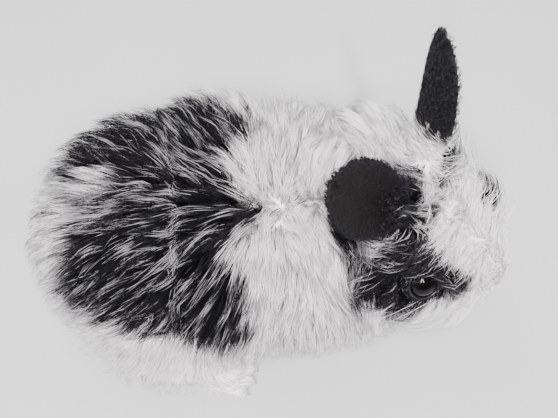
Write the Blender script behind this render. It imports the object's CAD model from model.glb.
"""The looks of a lionhead rabbit kit: skin, long coat, ears, eyes, whiskers and claws, in a plain studio.

The rabbit's own sizes are in mm, forward, left and up of a point on the floor. The head's are forward,
left and up of the midpoint between its eyes. Points and directions are the rows of an array.
"""

import math
from typing import NamedTuple

import bmesh
import bpy
import numpy as np
from bpy.props import FloatProperty, IntProperty, PointerProperty, StringProperty
from mathutils import Matrix, Vector
from mathutils.bvhtree import BVHTree
from mathutils.kdtree import KDTree


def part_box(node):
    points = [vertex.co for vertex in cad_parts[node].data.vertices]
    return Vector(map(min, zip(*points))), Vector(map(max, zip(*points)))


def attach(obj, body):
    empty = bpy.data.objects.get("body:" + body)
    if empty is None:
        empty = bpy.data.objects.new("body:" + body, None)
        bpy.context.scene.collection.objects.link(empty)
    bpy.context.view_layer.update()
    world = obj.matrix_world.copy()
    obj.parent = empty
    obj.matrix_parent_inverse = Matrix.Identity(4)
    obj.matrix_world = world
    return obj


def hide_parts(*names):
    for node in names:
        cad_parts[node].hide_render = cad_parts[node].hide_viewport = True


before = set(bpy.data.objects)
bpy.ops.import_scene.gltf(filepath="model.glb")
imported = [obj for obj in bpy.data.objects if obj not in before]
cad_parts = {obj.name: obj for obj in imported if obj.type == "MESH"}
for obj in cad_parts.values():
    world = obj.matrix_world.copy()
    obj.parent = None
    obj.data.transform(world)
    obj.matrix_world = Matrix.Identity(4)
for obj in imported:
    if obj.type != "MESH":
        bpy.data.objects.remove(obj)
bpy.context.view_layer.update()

bl_info = {
    "name": "Lionhead Rabbit",
    "version": (1, 0, 0),
    "blender": (4, 5, 0),
    "location": "3D View > Sidebar > Rabbit",
    "description": "Dresses a packed rabbit in skin and a long coat",
    "category": "Object",
}

MM = 0.001
BODY = "root"
SIDES = {1: "left", -1: "right"}
SEED = 5
LOCK_SEED = 82


class Mass(NamedTuple):
    """A rounded mass of flesh: its centre, its half sizes and the depth of the coat on it, all in mm."""

    centre: tuple
    radii: tuple
    coat: float
    turn: float = 0.0


# The trunk and the legs, of which these are the left ones
TORSO = (
    Mass((-43, 1, 31), (32, 33, 29), 11),
    Mass((-20, 1, 31), (33, 37, 29.5), 12),
    Mass((2, -1, 30), (30, 34, 28.5), 12),
    Mass((20, -4, 28), (25, 28, 25), 12),
)
NECK = (
    Mass((21, -7, 45), (16, 19, 20), 12),
    Mass((31, 3, 50), (12, 14, 14), 13),
)
TAIL = (Mass((-76, 0, 17), (7, 7, 8), 5),)
HIND_LEG = (
    Mass((-43, 27, 20), (24, 14, 19), 9, 14),
    Mass((-42, 38, 8), (18, 8, 7), 5, 14),
    Mass((-27, 43, 6), (9, 7.5, 5.5), 2.5, 14),
)
FORE_LEG = (
    Mass((22, 22, 13), (19, 9, 11), 6, -6),
    Mass((43, 18, 5.5), (9, 6.5, 5), 2, -6),
)
CHEST_MIDDLE = -3
HIND_TOES = (-19, 44.5, 4.5)
FORE_TOES = (51, 16.5, 4)
TOE_RADII = (4.5, 2.1, 2.6)
TOE_SPACING = 4.3
CLAW_LENGTH = 3.2

# The head, with the left one of each pair
HEAD_CENTRE = (49.5, -18, 51)
HEAD_TURN = -30
HEAD_NOD = 35
SKULL = Mass((-13, 0, 1), (16.5, 16.5, 15.5), 7)
FACE = Mass((2, 0, -1), (16, 18.3, 14.5), 3.5)
PROFILE = Mass((7, 0, -0.5), (21, 11.5, 11), 2.5)
CHEEK = Mass((-8, 10.5, -12.5), (12, 12, 10.5), 8.5)
JOWL = Mass((6.5, 10, -9), (13.5, 8.5, 9.5), 8.5)
MUZZLE = Mass((13, 0, -5), (13, 11.3, 9.5), 3.0)
WHISKER_PAD = Mass((19.5, 6, -8.5), (7.6, 6.8, 6), 2.2)
CHIN = Mass((11, 0, -14.5), (9.5, 7, 5), 2.5)
LOWER_LIP = Mass((20.5, 0, -15), (5.5, 4.2, 2.4), 0.5)
NOSE = Mass((27, 0, -4.5), (2.0, 3.1, 2.3), 0.2)
NOSTRIL_SPREAD = 1.7
MOUTH_HEIGHT = -12.3
MOUTH_DROOP = 2.2
MOUTH_HALF = 9

EYE_RADIUS = 5.4
EYE_PLACE = (0.8, 17.0, -1.5)
EYE_LOOKS = (0.10, 0.64, 0.76)
LID_THICKNESS = 0.9
LID_OPENING = (5.1, 4.6)
LID_RADIUS = 6.4
LID_STEPS = 96
SOCKET_DEPTH = 1.6

EAR_LENGTH = 44.5
EAR_ARC = 26
EAR_WALL = 1.7
EAR_BULB = (6, 5, 5)
EAR_ROOT = (-22, 9, 12)
LEFT_EAR = ((0.07, 0.46, 0.88), (0.99, 0.02, -0.05))
RIGHT_EAR = ((-0.57, -0.10, 0.81), (0.66, -0.63, 0.40))

# The reach of a point that is on no ear
FAR = 99.0

# The coat radiates from the whorl behind the shoulders, and drifts this way as it goes
WHORL = (-2, -7, 67)
BACK_DRIFT = (-0.2, 0, -0.25)
NECK_DRIFT = (-0.5, 0, -0.25)
TAIL_LIE = (-1, 0, -0.15)
FORE_FOOT_LIE = (1.0, 0, -0.15)
HIND_FOOT_LIE = (1.0, 0.15, -0.1)

# How softly one mass's depth of coat turns into the next one's, and one region's lie into the next one's
COAT_BLEND = 2.5
REGION_BLEND = 4

# Places along a lock's middle line, how many roots are tried for locks, how far a strand's root is sunk,
# the shares of its width along it, and the size of its patch of the unwrap
GUIDE_STEPS = 8
LOCK_TRIES = 40000
ROOT_DEPTH = 0.35
STRAND_PROFILE = ((0, 0.8), (0.25, 1.0), (0.6, 0.85), (0.85, 0.5), (1, 0.0))
PATCH_SIZE = 0.003

# How fine the skin's grid is in mm, and the most triangles that one coat piece may have
SKIN_GRID = 0.86
MOST_TRIANGLES = 196000

# Each light's name, place and size in m, and power in W
LIGHTS = (
    ("softbox_back", (-0.45, 0.75, 1.0), (0.8, 0.8), 12),
    ("softbox_right", (0.85, 0.1, 0.75), (0.6, 0.6), 5),
    ("tube_left", (-0.15, -0.42, 1.02), (0.05, 0.5), 23),
    ("tube_right", (0.08, -0.42, 1.04), (0.05, 0.5), 23),
)
SKY = "#F7F8FF"

# The camera: its aim on the rabbit in mm, its distance in m, its turn and rise in degrees, its lens in mm
CAMERA_AIM = (0.0, 2.0, 38.0)
CAMERA_DISTANCE = 0.306
CAMERA_TURN = -7
CAMERA_RISE = 66
CAMERA_LENS = 58.06


# ---- Settings ----


def linear(hex_colour):
    """A colour written as sRGB hex, as linear red, green and blue."""
    channels = [int(hex_colour[i : i + 2], 16) / 255 for i in (1, 3, 5)]
    return tuple(c / 12.92 if c <= 0.04045 else ((c + 0.055) / 1.055) ** 2.4 for c in channels)


def hex_property(name, description, default):
    """A colour that a user may change, as sRGB hex."""
    return StringProperty(name=name, description=description, default=default)


class RabbitCoat(bpy.types.PropertyGroup):
    """Sizes of the coat."""

    length: FloatProperty(
        name="Length",
        description="How long a hair is for each millimetre of the coat's depth",
        default=1.4,
        min=1,
        max=4,
    )
    hair: FloatProperty(
        name="Hair width",
        description="Width of the tuft of hairs that one strand stands for",
        default=0.21 * MM,
        unit="LENGTH",
    )
    clump: FloatProperty(
        name="Clump",
        description="How far hairs draw together towards the tips of their lock",
        default=0.55,
        min=0,
        max=1,
        subtype="FACTOR",
    )
    trunk: IntProperty(name="Trunk strands", description="Strands on the trunk", default=48000)
    head: IntProperty(name="Head strands", description="Strands on the head", default=24000)
    whisker: FloatProperty(
        name="Whisker",
        description="Thickness of a whisker at its root",
        default=0.22 * MM,
        unit="LENGTH",
    )


class RabbitColours(bpy.types.PropertyGroup):
    """Colours of the rabbit."""

    white: hex_property("White hair", "Hair of the blaze, mane, chest and feet", "#F8F3F5")
    white_root: hex_property("White root", "The lower part of a white hair, in the coat's shade", "#E6DDDE")
    black: hex_property("Black hair", "Hair of the saddle, ears and eye patches", "#100F12")
    black_root: hex_property("Black root", "The lower part of a black hair", "#0C0B0D")
    silver: hex_property("Silver hair", "White-tipped hairs scattered over the saddle", "#B9B5BC")
    grey: hex_property("Grey hair", "Grey wisps in the white coat", "#77747C")
    skin: hex_property("Skin", "Bare skin of nose and lips", "#B58984")
    inner_ear: hex_property("Inner ear", "Bare skin in the cup of a black ear", "#120D0B")
    eye: hex_property("Eye", "Dark brown iris", "#070506")
    pupil: hex_property("Pupil", "Pupil, almost black", "#030303")
    claw: hex_property("Claw", "Horn of the claws", "#8E8078")
    floor: hex_property("Floor", "The studio's pale floor", "#AEAEAE")


# ---- Places and masses ----


def shift_of_rabbit():
    """From the rabbit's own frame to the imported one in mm, by the place of an eye in both."""
    low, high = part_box("eye_left")
    return np.array((low + high) / 2) / MM - np.array(head_frame() @ Vector(EYE_PLACE))


def head_frame():
    """From the head's forward, left and up to the rabbit's frame, in mm."""
    nod = Matrix.Rotation(math.radians(HEAD_NOD), 4, "Y")
    turn = Matrix.Rotation(math.radians(HEAD_TURN), 4, "Z")
    return Matrix.Translation(HEAD_CENTRE) @ turn @ nod


def to_world(points):
    """Points of the rabbit's frame in mm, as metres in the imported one."""
    return (points + shift_of_rabbit()) * MM


def to_rabbit(points):
    """Packed points in metres, as mm in the rabbit's own frame."""
    return points / MM - shift_of_rabbit()


def moved(matrix, points):
    """Points, as rows, carried by a matrix."""
    values = np.array(matrix)
    return points @ values[:3, :3].T + values[:3, 3]


def in_head(points):
    """Points of the rabbit's frame in the head's own frame."""
    return moved(head_frame().inverted(), points)


def unit_rows(vectors):
    """Each row scaled to a length of 1."""
    return vectors / np.maximum(np.linalg.norm(vectors, axis=-1, keepdims=True), 1e-9)


def mirrored(place, side):
    """A place on the left as a row, or its mirror on the right."""
    return np.array((place[0], side * place[1], place[2]))


def blend(low, high, share):
    """Rows between two colours or directions, by each row's share of the second one."""
    share = np.asarray(share)[..., None]
    return np.asarray(low) * (1 - share) + np.asarray(high) * share


def smooth_step(low, high, values):
    """0 below low, 1 above high, and smooth between them."""
    share = np.clip((values - low) / (high - low), 0, 1)
    return share * share * (3 - 2 * share)


def noise(points, size, seed=0):
    """Smooth noise from -1 to 1 at points in mm, with features of about this size."""
    cell = points / size
    base = np.floor(cell).astype(np.int64)
    part = cell - base
    part = part * part * (3 - 2 * part)
    total = np.zeros(len(points))
    for corner in range(8):
        offset = np.array([(corner >> k) & 1 for k in range(3)])
        key = (base + offset) @ np.array([73856093, 19349663, 83492791]) + seed * 668265263
        key = (key ^ (key >> 13)) * 1274126177 & 0x7FFFFFFF
        key = (key ^ (key >> 15)) & 0xFFFF
        total += np.prod(np.where(offset == 1, part, 1 - part), axis=1) * (key / 32767.5 - 1)
    return total


def side_of(mass, side, middle=0):
    """A left mass as it is, or mirrored to the rabbit's right."""
    x, y, z = mass.centre
    return mass._replace(centre=(x, middle + side * (y - middle), z), turn=side * mass.turn)


def leg_masses(masses, toes, side, middle):
    """The masses of one leg, with its four toes side by side."""
    turn = masses[-1].turn
    across = Matrix.Rotation(math.radians(turn), 3, "Z") @ Vector((0, 1, 0))
    places = [Vector(toes) + across * TOE_SPACING * (i - 1.5) for i in range(4)]
    lengths = (-1.2, 0.6, 0.6, -1.2)
    grown = [Mass((p.x + reach, p.y, p.z), TOE_RADII, 0.8, turn) for p, reach in zip(places, lengths)]
    return [side_of(mass, side, middle) for mass in (*masses, *grown)]


def all_masses():
    """Every mass of flesh, as its region, itself and the matrix that its unit sphere is set by, in mm."""
    here = Matrix.Identity(4)
    head = [SKULL, FACE, PROFILE, MUZZLE, CHIN, LOWER_LIP, NOSE]
    head += [side_of(mass, side) for mass in (CHEEK, JOWL, WHISKER_PAD) for side in (1, -1)]
    found = [("torso", mass, here) for mass in TORSO] + [("neck", mass, here) for mass in NECK]
    found += [("tail", mass, here) for mass in TAIL] + [("head", mass, head_frame()) for mass in head]
    for side, word in SIDES.items():
        hind = leg_masses(HIND_LEG, HIND_TOES, side, 0)
        fore = leg_masses(FORE_LEG, FORE_TOES, side, CHEST_MIDDLE)
        found += [("hind_leg_" + word, mass, here) for mass in hind]
        found += [("fore_leg_" + word, mass, here) for mass in fore]
    rows = []
    for region, mass, place in found:
        turn = Matrix.Rotation(math.radians(mass.turn), 4, "Z")
        matrix = place @ Matrix.Translation(mass.centre) @ turn @ Matrix.Diagonal((*mass.radii, 1))
        rows.append((region, mass, matrix))
    return rows


def nearest_masses(points):
    """The coat's depth at each point, the region it is in and how much each region has of it."""
    rows = all_masses()
    owners = np.array([region for region, _, _ in rows])
    distances = []
    for _, mass, matrix in rows:
        reach = np.linalg.norm(moved(matrix.inverted(), points), axis=1)
        distances.append((reach - 1) * min(mass.radii))
    distances = np.array(distances)
    weights = np.exp(-np.clip(distances - distances.min(0), 0, 40) / COAT_BLEND)
    depths = np.array([mass.coat for _, mass, _ in rows]) @ weights / weights.sum(0)
    regions = sorted(set(owners.tolist()))
    of_region = np.array([distances[owners == name].min(0) for name in regions])
    shares = np.exp(-np.clip(of_region - of_region.min(0), 0, 60) / REGION_BLEND)
    shares /= shares.sum(0)
    return depths, np.array(regions)[of_region.argmin(0)], dict(zip(regions, shares))


def eye_axes(side):
    """An eye's centre, and its own forward, up and outward directions, in the rabbit's frame in mm."""
    looks = Vector(mirrored(EYE_LOOKS, side)).normalized()
    along = Vector((1, -looks.x / looks.y, 0)).normalized()
    place = head_frame()
    turn = place.to_3x3()
    above = turn @ looks.cross(along)
    if above.z < 0:
        above = -above
    centre = place @ Vector(mirrored(EYE_PLACE, side))
    return [np.array(row) for row in (centre, turn @ along, above, turn @ looks)]


def eye_distance(points, side):
    """How far out each point is from the middle of the opening between the lids: 1 at its rim."""
    centre, along, above, looks = eye_axes(side)
    from_eye = points - centre
    out = np.hypot(from_eye @ along / LID_OPENING[0], from_eye @ above / LID_OPENING[1])
    front = (from_eye @ looks > 0) & (np.linalg.norm(from_eye, axis=1) < EYE_RADIUS + 4)
    return np.where(front, out, 9.0)


def eyes_distance(points):
    """How far out each point is from the nearer opening between lids, as eye_distance."""
    return np.minimum(eye_distance(points, 1), eye_distance(points, -1))


# ---- Meshes ----


def add_object(name, mesh):
    """A new object with this mesh, at the origin."""
    obj = bpy.data.objects.new(name, mesh)
    bpy.context.scene.collection.objects.link(obj)
    return obj


def settle(obj):
    """Replace an object's mesh with what its modifiers make of it."""
    bpy.context.view_layer.update()
    evaluated = obj.evaluated_get(bpy.context.evaluated_depsgraph_get())
    mesh = bpy.data.meshes.new_from_object(evaluated)
    obj.modifiers.clear()
    obj.data = mesh


def points_of(mesh):
    """A mesh's vertices as rows."""
    values = np.empty(len(mesh.vertices) * 3)
    mesh.vertices.foreach_get("co", values)
    return values.reshape(-1, 3)


def normals_of(mesh):
    """A mesh's vertex normals as rows."""
    values = np.empty(len(mesh.vertices) * 3)
    mesh.vertex_normals.foreach_get("vector", values)
    return values.reshape(-1, 3)


def set_points(mesh, points):
    """Move a mesh's vertices to these rows."""
    mesh.vertices.foreach_set("co", points.astype(np.float32).ravel())
    mesh.update()


def tree_of(points):
    """A search tree over rows of points."""
    tree = KDTree(len(points))
    for i, place in enumerate(points):
        tree.insert(place, i)
    tree.balance()
    return tree


def finished(bm, name):
    """A new mesh of what a bmesh holds, which is freed."""
    mesh = bpy.data.meshes.new(name)
    bm.to_mesh(mesh)
    bm.free()
    return mesh


def mesh_of(name, points, corners, sizes):
    """A mesh from rows of points, the faces' corners one after another and each face's count of them."""
    mesh = bpy.data.meshes.new(name)
    mesh.vertices.add(len(points))
    mesh.vertices.foreach_set("co", points.astype(np.float32).ravel())
    mesh.loops.add(len(corners))
    mesh.loops.foreach_set("vertex_index", corners.astype(np.int32))
    mesh.polygons.add(len(sizes))
    mesh.polygons.foreach_set("loop_start", np.concatenate([[0], np.cumsum(sizes)[:-1]]).astype(np.int32))
    mesh.polygons.foreach_set("use_smooth", np.ones(len(sizes), bool))
    mesh.update(calc_edges=True)
    mesh.validate()
    return mesh


def paint(mesh, colours):
    """Keep one linear colour for each vertex in the attribute that the coat's materials read."""
    attribute = mesh.color_attributes.new("coat", "FLOAT_COLOR", "POINT")
    rows = np.concatenate([colours, np.ones((len(colours), 1))], axis=1)
    attribute.data.foreach_set("color", rows.astype(np.float32).ravel())


# ---- Markings ----

# The head's markings are outlines on a plane that faces its right side from above and in front. The
# plane's axes are in the head's forward, left and up, and the other side of the head mirrors them.
MARKING_RIGHT = (0.754, 0.39, 0.528)
MARKING_UP = (-0.526, 0.84, 0.128)
MARKING_OUT = (-0.394, -0.374, 0.839)

# Outlines of the markings in mm to the right and up of the middle of the head
EYE_MASK = (
    (-31.5, -8), (-27, -8), (-23.5, -9), (-19.5, -10), (-14.5, -10.5), (-11, -10), (-8, -8),
    (-6.5, -5.5), (-4, -6), (-1.5, -8.5), (1, -10), (4.5, -11.5), (8, -14), (8.5, -17), (5, -20),
    (1, -21.5), (-3, -23), (-5.5, -26), (-8.5, -29.5), (-13, -31), (-16.5, -29.5), (-19, -26),
    (-22, -25.5), (-25, -27), (-28.5, -25.5), (-30.5, -22), (-29, -18.5), (-30.5, -14.5),
    (-32.5, -11.5),
)
EAR_BASE = (
    (-34.5, 17), (-35, 10), (-36.5, 5.5), (-36.5, 0.5), (-34.5, -4.5), (-30, -7.5), (-25.5, -5),
    (-21.5, -2), (-18, -0.5), (-13.5, 1), (-10.5, 4.5), (-9, 10), (-10, 15.5), (-12, 20),
    (-15.5, 23.5), (-21, 24.5), (-26.5, 24), (-31.5, 21.5),
)
TEMPLE_GREY = (
    (-33, -5), (-29.5, -6), (-24.5, -4), (-19, -1), (-14.5, -0.5), (-11, 2), (-7.5, -1),
    (-5.5, -5), (-5.5, -10.5), (-14.5, -13), (-24, -12.5), (-30, -12), (-33.5, -9),
)
BROW_GREY = (
    (-14.5, -5), (-13, 0.5), (-8.5, 6), (-6, 12.5), (-3, 19), (-1, 24.5), (3, 24.5), (3, 20),
    (0, 14.5), (-2, 8), (-5, 4), (-8.5, -0.5), (-11, -5.5),
)

# Each outline with how dark it is and how soft its edge is in mm
HEAD_MARKINGS = (
    (TEMPLE_GREY, 0.86, 1.5),
    (BROW_GREY, 0.62, 2.0),
    (EYE_MASK, 1.0, 1.0),
    (EAR_BASE, 0.97, 1.2),
)

# The ends of the white streak between eye and ear, on the same plane
TEMPLE_STREAK = ((-30.0, -9.5), (-18.5, -1.0))

# The saddle's front edge, as how far forward it comes at each place to the rabbit's left
SADDLE_FRONT = (
    (-60, -14), (-44, -13), (-35, -12.5), (-20, -16), (-13, -8), (-9, -2), (-4, -8), (0, -13),
    (5, -14.5), (10, -12), (15, -7.5), (19, -2), (22, 10), (26, 19), (31, 25), (60, 28),
)

# The saddle's lower edge on either flank, as its height at each place forward
SADDLE_RIGHT = ((-80, 41), (-65, 42), (-58, 43), (-45, 40), (-31, 36), (-17, 35.5), (0, 39))
SADDLE_LEFT = ((-80, 50), (-65, 44), (-55, 38), (-30, 40), (-22, 50), (-16, 57), (-6, 61), (20, 61))

# Paler and darker patches of the rump: how strong each is, its middle and its half sizes
PALE_RUMP = (
    (0.5, (-60, 7, 65), (9, 8, 9)),
    (0.55, (-75, 1, 52), (12, 16, 17)),
    (0.3, (-60, -6, 65), (9, 8, 8)),
)
GREY_RUMP = (0.42, (-80, 6, 44), (13, 22, 20))

# The ends of the furrow in the coat behind the neck
FURROW = ((1, 14, 71), (9, -12, 68))


def blob(points, centre, radii, soft=0.35):
    """1 inside an ellipsoid, 0 outside it, and smooth across its edge."""
    reach = np.linalg.norm((points - np.array(centre)) / np.array(radii), axis=1)
    return 1 - smooth_step(1 - soft, 1 + soft, reach)


def inside_outline(right, up, outline):
    """How far inside an outline each place is, in mm, and less than 0 outside it."""
    inside = np.zeros(len(right), bool)
    nearest = np.full(len(right), 1e6)
    corners = np.array(outline, float)
    for (ax, ay), (bx, by) in zip(corners, np.roll(corners, -1, axis=0)):
        dx, dy = bx - ax, by - ay
        share = np.clip(((right - ax) * dx + (up - ay) * dy) / (dx * dx + dy * dy + 1e-9), 0, 1)
        nearest = np.minimum(nearest, np.hypot(right - ax - share * dx, up - ay - share * dy))
        crosses = (ay > up) != (by > up)
        inside ^= crosses & (right < ax + (up - ay) / (dy if abs(dy) > 1e-9 else 1e-9) * dx)
    return np.where(inside, nearest, -nearest)


def segment_distance(points, start, end):
    """How far each point is from a straight line between two ends."""
    start, end = np.array(start, float), np.array(end, float)
    share = np.clip((points - start) @ (end - start) / ((end - start) @ (end - start)), 0, 1)
    return np.linalg.norm(points - start - share[:, None] * (end - start), axis=1)


def from_furrow(points):
    """How far each point is from the furrow behind the neck, seen from above."""
    start, end = (place[:2] for place in FURROW)
    return segment_distance(points[:, :2], start, end)


def head_darkness(points, rough):
    """The markings of the head: a mask over each eye, a dark root to the right ear and grey on the brow."""
    inside = in_head(points)
    folded = inside * np.array([1, 0, 1]) - np.abs(inside) * np.array([0, 1, 0])
    right = folded @ np.array(MARKING_RIGHT) + 0.2 * rough
    up = folded @ np.array(MARKING_UP) + 0.2 * rough
    near = (folded @ np.array(MARKING_OUT) > -32) & (np.linalg.norm(inside, axis=1) < 52)
    dark = np.zeros(len(points))
    for outline, strength, soft in HEAD_MARKINGS:
        share = strength * smooth_step(-soft, soft, inside_outline(right, up, outline))
        if outline is EAR_BASE:
            share = share * (1 - smooth_step(1, 5, inside[:, 1]))
        dark = np.maximum(dark, share)
    places = np.stack([right, up], axis=1)
    streak = np.exp(-((segment_distance(places, *TEMPLE_STREAK) / 0.8) ** 2))
    return np.where(near, dark * (1 - 0.7 * streak), 0)


def saddle_darkness(points, rough):
    """The dark saddle, with its pale rump, its grey far edge and the few wisps at the whorl."""
    x, y, z = points.T
    front = np.interp(y, *np.array(SADDLE_FRONT, float).T) - x
    right_edge = z - np.interp(x, *np.array(SADDLE_RIGHT, float).T)
    left_edge = z - np.interp(x, *np.array(SADDLE_LEFT, float).T)
    edge = np.where(y < 0, right_edge, left_edge)
    saddle = smooth_step(-4, 5, front + rough) * smooth_step(-3.5, 3.5, edge + 0.7 * rough)
    saddle *= smooth_step(-80, -73, x + rough)
    saddle *= 1 - 0.3 * smooth_step(-12, 0, x) * smooth_step(12, 20, y)
    paler = [share * blob(points, centre, radii) for share, centre, radii in PALE_RUMP]
    saddle *= 1 - np.max(paler, axis=0)
    share, centre, radii = GREY_RUMP
    saddle = np.maximum(saddle, share * blob(points, centre, radii, 0.5))
    furrow = 0.5 * np.exp(-((from_furrow(points) / 1.6) ** 2))
    return np.maximum(saddle, np.where(z > 55, furrow, 0))


def darkness(points):
    """How dark the coat is at points of the rabbit, from 0 for white to 1 for black."""
    rough = 4 * noise(points, 9, 3) + 2 * noise(points, 3, 4)
    return np.clip(np.maximum(saddle_darkness(points, rough), head_darkness(points, rough)), 0, 1)


# ---- The skin ----


def ear_frame(side):
    """Where an ear's root is, with X along its length and Z out of its cup, in the rabbit's frame."""
    rises, opens = LEFT_EAR if side == 1 else RIGHT_EAR
    along = Vector(rises).normalized()
    out = Vector(opens)
    out = (out - along * out.dot(along)).normalized()
    root = head_frame() @ Vector(mirrored(EAR_ROOT, side))
    return Matrix.Translation(root) @ Matrix((along, out.cross(along), out)).transposed().to_4x4()


def ear_wall(share, across, depth=0.0):
    """Points of an ear's wall at shares of its length and half width, this far in towards the cup."""
    low = 0.46 + 0.54 * np.sin(np.pi * share / 1.1)
    high = np.sqrt(np.clip(1 - (np.clip(share - 0.55, 0, 1) / 0.45) ** 2.3, 0, 1))
    outline = EAR_ARC / 2 * np.where(share < 0.55, low, high)
    curl = np.radians(38 + 107 * (1 - share) ** 2.2)
    radius = outline / curl
    rim = radius * (1 - np.cos(curl))
    angle = curl * across
    sideways = (radius - depth) * np.sin(angle)
    out = radius - (radius - depth) * np.cos(angle) - rim / 2
    return np.stack([share * EAR_LENGTH, sideways, out], axis=-1)


def ear_thickness(share, across):
    """How thick the ear is, thin at the rim and thicker at the root."""
    return EAR_WALL * (1.05 - 0.35 * across**2 - 0.2 * share)


def add_ear_shell(bm, side):
    """A closed sheet for one ear, its two faces joined around the rim."""
    rows, columns = 48, 29
    share = 1 - (1 - np.linspace(0.0, 1.0, rows)) ** 1.5
    share, across = np.meshgrid(np.clip(share, 0, 0.996), np.linspace(-1, 1, columns), indexing="ij")
    half = ear_thickness(share, across) / 2
    sheets = []
    for depth in (-half, half):
        points = moved(ear_frame(side), ear_wall(share, across, depth).reshape(-1, 3))
        sheets.append([bm.verts.new(point) for point in points])
    back, front = sheets
    for i in range(rows - 1):
        for j in range(columns - 1):
            k = i * columns + j
            bm.faces.new((back[k], back[k + columns], back[k + columns + 1], back[k + 1]))
            bm.faces.new((front[k], front[k + 1], front[k + columns + 1], front[k + columns]))
    rim = [i * columns for i in range(rows)]
    rim += [(rows - 1) * columns + j for j in range(1, columns)]
    rim += [i * columns + columns - 1 for i in range(rows - 2, -1, -1)]
    rim += list(range(columns - 2, 0, -1))
    for a, b in zip(rim, rim[1:] + rim[:1]):
        bm.faces.new((back[a], back[b], front[b], front[a]))


def fused_skin():
    """One closed surface over every mass, both lids and both ears, in the rabbit's frame in mm."""
    bm = bmesh.new()
    for _, mass, matrix in all_masses():
        level = 5 if max(mass.radii) > 12 else 4
        bmesh.ops.create_icosphere(bm, subdivisions=level, radius=1, matrix=matrix)
    for side in (1, -1):
        centre = Matrix.Translation(eye_axes(side)[0])
        bmesh.ops.create_icosphere(bm, subdivisions=4, radius=EYE_RADIUS + LID_THICKNESS, matrix=centre)
        bulb = ear_frame(side) @ Matrix.Translation((1, 0, 0)) @ Matrix.Diagonal((*EAR_BULB, 1))
        bmesh.ops.create_icosphere(bm, subdivisions=4, radius=1, matrix=bulb)
        add_ear_shell(bm, side)
    bmesh.ops.recalc_face_normals(bm, faces=bm.faces)
    skin = add_object("skin", finished(bm, "skin"))
    fuse = skin.modifiers.new("fuse", "REMESH")
    fuse.mode = "VOXEL"
    fuse.voxel_size = SKIN_GRID
    settle(skin)
    return skin


def refine_face(skin):
    """A finer grid around the eyes, the nose and the lips."""
    bm = bmesh.new()
    bm.from_mesh(skin.data)
    places = [(Vector(eye_axes(side)[0]), 9) for side in (1, -1)]
    places.append((head_frame() @ Vector((25, 0, -8)), 10))
    edges = set()
    for face in bm.faces:
        middle = face.calc_center_median()
        if any((middle - place).length < reach for place, reach in places):
            edges.update(face.edges)
    bmesh.ops.subdivide_edges(bm, edges=list(edges), cuts=1, use_grid_fill=True)
    bm.to_mesh(skin.data)
    bm.free()


def relaxed(mesh, points, amount, rounds):
    """Points drawn towards the middle of their neighbours, by this share for each point."""
    pairs = np.empty(len(mesh.edges) * 2, np.int32)
    mesh.edges.foreach_get("vertices", pairs)
    a, b = pairs.reshape(-1, 2).T
    size = len(points)
    count = np.maximum(np.bincount(a, minlength=size) + np.bincount(b, minlength=size), 1)
    for _ in range(rounds):
        for factor in (amount, -0.6 * amount):
            sums = []
            for column in points.T:
                sums.append(np.bincount(a, column[b], size) + np.bincount(b, column[a], size))
            middle = np.stack(sums, axis=1) / count[:, None]
            points = points + factor[:, None] * (middle - points)
    return points


def shape_openings(points):
    """Sink the skin inside the eyeballs where the lids are open."""
    inner = EYE_RADIUS - SOCKET_DEPTH
    for side in (1, -1):
        centre = eye_axes(side)[0]
        out = eye_distance(points, side)
        from_eye = points - centre
        radius = np.linalg.norm(from_eye, axis=1)
        share = smooth_step(0.98, 1.16, out)
        aim = np.where(out < 3, inner + (radius - inner) * share, radius)
        points = centre + from_eye * (aim / np.maximum(radius, 1e-6))[:, None]
    return points


def mouth_line(left):
    """How high the line of the mouth is at places to the head's left."""
    return MOUTH_HEIGHT - MOUTH_DROOP * np.clip(np.abs(left) / MOUTH_HALF, 0, 1) ** 1.5


def shape_muzzle(points, normals):
    """Nostrils, the cleft of the upper lip, the line of the mouth and the folds beside the nose."""
    u, v, w = in_head(points).T
    front = smooth_step(17, 21, u)
    side = np.abs(v)
    slant = (side - NOSTRIL_SPREAD) * 0.78 + (w + 4.2) * 0.62
    rise = -(side - NOSTRIL_SPREAD) * 0.62 + (w + 4.2) * 0.78
    nostril = np.exp(-((slant / 1.25) ** 2) - (rise / 0.42) ** 2) * smooth_step(24.5, 26, u)
    cleft = np.exp(-((v / 0.45) ** 2)) * smooth_step(-12.5, -11.5, w)
    cleft = cleft * (1 - smooth_step(-6.6, -5.8, w)) * front
    lips = np.exp(-(((w - mouth_line(v)) / 0.5) ** 2)) * smooth_step(9, 13, u)
    lips = lips * (1 - smooth_step(7.5, 9.5, side))
    fold = np.exp(-(((np.hypot(side, w + 4.5) - 3.9) / 0.5) ** 2)) * smooth_step(23.5, 25.5, u)
    sink = 1.3 * nostril + 0.8 * cleft + 0.75 * lips + 0.25 * fold
    return points - normals * sink[:, None]


class EarPlaces(NamedTuple):
    """Points on their nearest ear: how far off its wall, the shares along and across it, how far into
    the cup, and whose ear it is, 1 for the left one and -1 for the right."""

    reach: np.ndarray
    share: np.ndarray
    across: np.ndarray
    cup: np.ndarray
    side: np.ndarray

    def near(self, start=0.1, reach=2.4):
        """Which points are on an ear, past this share of its length and this near its wall."""
        return (self.reach < reach) & (self.share > start)


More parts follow.
